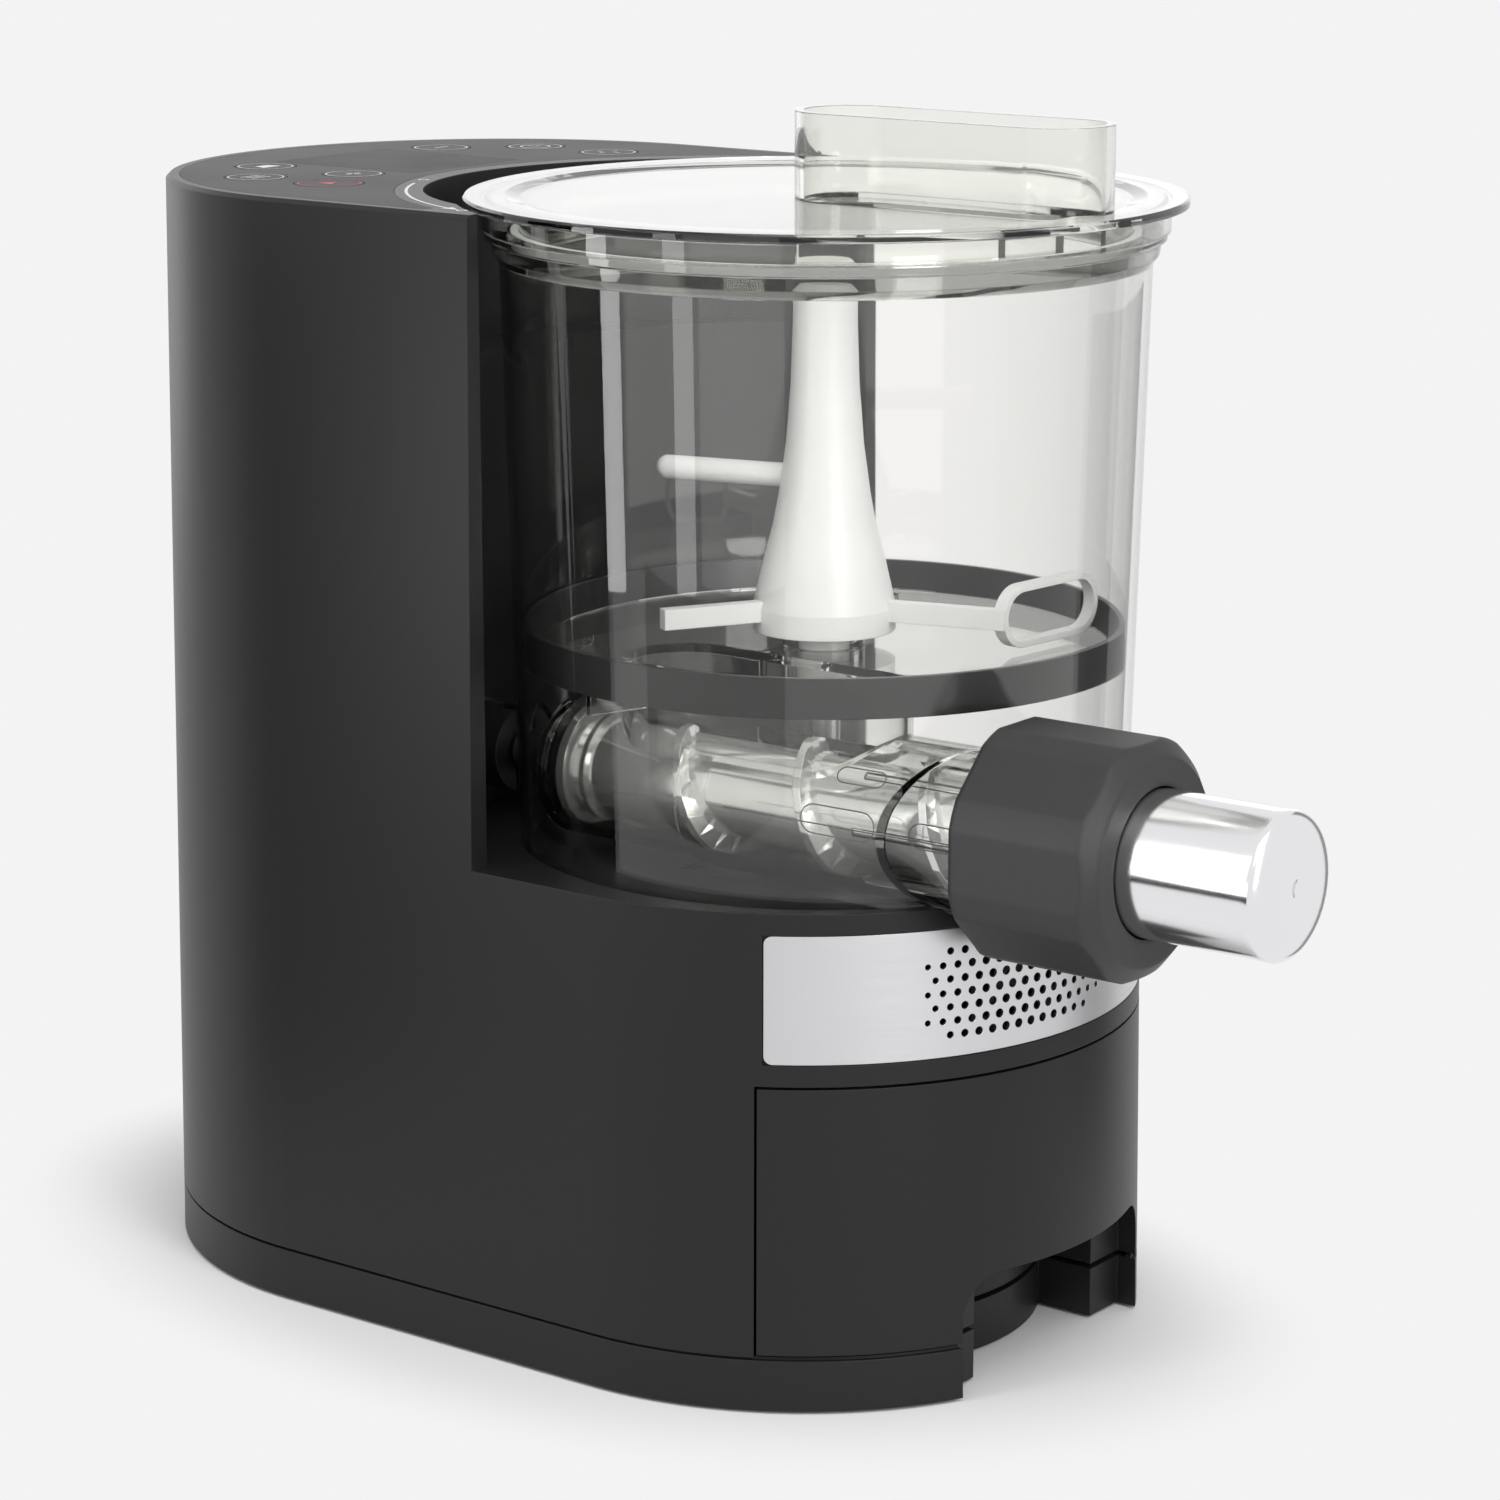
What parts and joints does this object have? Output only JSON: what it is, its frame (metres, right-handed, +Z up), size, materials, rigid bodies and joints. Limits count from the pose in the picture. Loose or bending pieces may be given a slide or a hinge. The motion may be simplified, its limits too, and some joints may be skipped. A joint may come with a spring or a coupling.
{
  "type": "electric pasta maker",
  "caption": "Countertop pasta maker: clear mixing bowl and auger barrel on a black base, with a ring nut and die cylinder in front and a motor tower with touch panel behind.",
  "frame": {"origin": "middle of the bounding box, on the surface the machine stands on", "axes": "-Y is the front, where the die points; +Y is the back of the tower; +Z is up; +X is the right seen from behind the die looking at the machine's front"},
  "size_m": [0.2084, 0.4111, 0.3589],
  "materials": {
    "black_casing": "fine satin texture",
    "dark_tray": "satin",
    "black_ring": "fine grain",
    "gloss_panel": "gloss",
    "start_cap": "gloss with a red ring",
    "display": "gloss grey window",
    "display_body": "gloss",
    "rubber": "matte",
    "pale_seal": "matte silicone",
    "brushed_plate": "brushed along its length",
    "steel": "machined",
    "polished_auger": "polished",
    "chrome_die": "mirror polished",
    "cast_frame": "cast",
    "motor_can": "satin",
    "white_plastic": "satin",
    "circuit_board": "lacquered board",
    "board_mix": "mixed parts",
    "fan_plastic": "satin",
    "clear_bowl": "clear, slightly smoky",
    "clear_base": "clear, slightly smoky"
  },
  "bodies": {
    "base": {"housing_shell": "black_casing", "base_plate": "black_casing", "rubber_feet": "rubber", "base_screws": "steel", "front_plate": "brushed_plate", "top_panel": "gloss_panel", "display_window": "display", "display_module": "display_body", "control_board": "circuit_board", "key_switches": "board_mix", "gear_frame": "cast_frame", "frame_screws": "steel", "main_motor": "motor_can", "reduction_case": "motor_can", "drive_bearing": "steel", "drive_seal": "rubber", "mixer_motor": "motor_can", "spindle_seal": "rubber", "fan_frame": "fan_plastic", "main_board": "circuit_board", "board_parts": "board_mix", "power_inlet": "black_casing", "lid_switch": "board_mix"},
    "start_key": {"start_key": "start_cap"},
    "menu_key": {"menu_key": "gloss_panel"},
    "weight_key": {"weight_key": "gloss_panel"},
    "plus_key": {"plus_key": "gloss_panel"},
    "minus_key": {"minus_key": "gloss_panel"},
    "timer_key": {"timer_key": "gloss_panel"},
    "light_key": {"light_key": "gloss_panel"},
    "drive": {"drive_gear": "white_plastic", "drive_shaft": "steel"},
    "pinion": {"motor_pinion": "steel"},
    "spindle": {"mixer_spindle": "steel"},
    "fan": {"fan_rotor": "fan_plastic"},
    "drawer": {"drawer_front": "black_casing", "drawer_tray": "dark_tray"},
    "bowl": {"bowl": "clear_bowl", "bowl_base": "clear_base", "floor_seal": "rubber", "shaft_bush": "white_plastic", "barrel_seal": "rubber"},
    "auger": {"auger": "polished_auger", "auger_shaft": "steel"},
    "paddle": {"mixing_paddle": "white_plastic", "paddle_shaft": "steel"},
    "lid": {"lid": "clear_bowl", "lid_seal": "pale_seal"},
    "die": {"die_cylinder": "chrome_die"},
    "nut": {"ring_nut": "black_ring"}
  },
  "joints": [
    {"name": "drawer_slide", "type": "slide", "parent": "base", "child": "drawer", "axis": [0, -1, 0], "range_m": [0, 0.1]},
    {"name": "bowl_lift", "type": "slide", "parent": "base", "child": "bowl", "axis": [0, 0, 1], "range_m": [0, 0.2]},
    {"name": "lid_lift", "type": "slide", "parent": "bowl", "child": "lid", "axis": [0, 0, 1], "range_m": [0, 0.06]},
    {"name": "drive_spin", "type": "hinge", "parent": "base", "child": "drive", "pos_m": [-0.038, 0.1, 0.166], "axis": [0, -1, 0], "continuous": true},
    {"name": "pinion_spin", "type": "hinge", "parent": "base", "child": "pinion", "pos_m": [0.0016, 0.107, 0.2056], "axis": [0, -1, 0], "continuous": true},
    {"name": "auger_spin", "type": "hinge", "parent": "bowl", "child": "auger", "pos_m": [-0.038, -0.05, 0.166], "axis": [0, -1, 0], "continuous": true},
    {"name": "paddle_spin", "type": "hinge", "parent": "bowl", "child": "paddle", "pos_m": [0, -0.02227, 0.2], "axis": [0, 0, 1], "continuous": true},
    {"name": "spindle_spin", "type": "hinge", "parent": "base", "child": "spindle", "pos_m": [0, -0.02227, 0.14], "axis": [0, 0, 1], "continuous": true},
    {"name": "fan_spin", "type": "hinge", "parent": "base", "child": "fan", "pos_m": [-0.02329, -0.10186, 0.1215], "axis": [-0.2588, -0.9659, 0], "continuous": true},
    {"name": "die_pull", "type": "slide", "parent": "bowl", "child": "die", "axis": [0, -1, 0], "range_m": [0, 0.06]},
    {"name": "nut_turn", "type": "hinge", "parent": "die", "child": "nut", "pos_m": [-0.038, -0.138, 0.166], "axis": [0, -1, 0], "range_deg": [0, 270]},
    {"name": "start_press", "type": "slide", "parent": "base", "child": "start_key", "axis": [0, 0, -1], "range_m": [0, 0.0006], "stiffness_N_per_m": 500, "springref_m": -0.0005},
    {"name": "menu_press", "type": "slide", "parent": "base", "child": "menu_key", "axis": [0, 0, -1], "range_m": [0, 0.0006], "stiffness_N_per_m": 500, "springref_m": -0.0005},
    {"name": "weight_press", "type": "slide", "parent": "base", "child": "weight_key", "axis": [0, 0, -1], "range_m": [0, 0.0006], "stiffness_N_per_m": 500, "springref_m": -0.0005},
    {"name": "plus_press", "type": "slide", "parent": "base", "child": "plus_key", "axis": [0, 0, -1], "range_m": [0, 0.0006], "stiffness_N_per_m": 500, "springref_m": -0.0005},
    {"name": "minus_press", "type": "slide", "parent": "base", "child": "minus_key", "axis": [0, 0, -1], "range_m": [0, 0.0006], "stiffness_N_per_m": 500, "springref_m": -0.0005},
    {"name": "timer_press", "type": "slide", "parent": "base", "child": "timer_key", "axis": [0, 0, -1], "range_m": [0, 0.0006], "stiffness_N_per_m": 500, "springref_m": -0.0005},
    {"name": "light_press", "type": "slide", "parent": "base", "child": "light_key", "axis": [0, 0, -1], "range_m": [0, 0.0006], "stiffness_N_per_m": 500, "springref_m": -0.0005}
  ],
  "couplings": [
    {"joint": "auger_spin", "follows": "drive_spin", "ratio": 1},
    {"joint": "pinion_spin", "follows": "drive_spin", "ratio": -3.6667},
    {"joint": "spindle_spin", "follows": "paddle_spin", "ratio": 1}
  ]
}
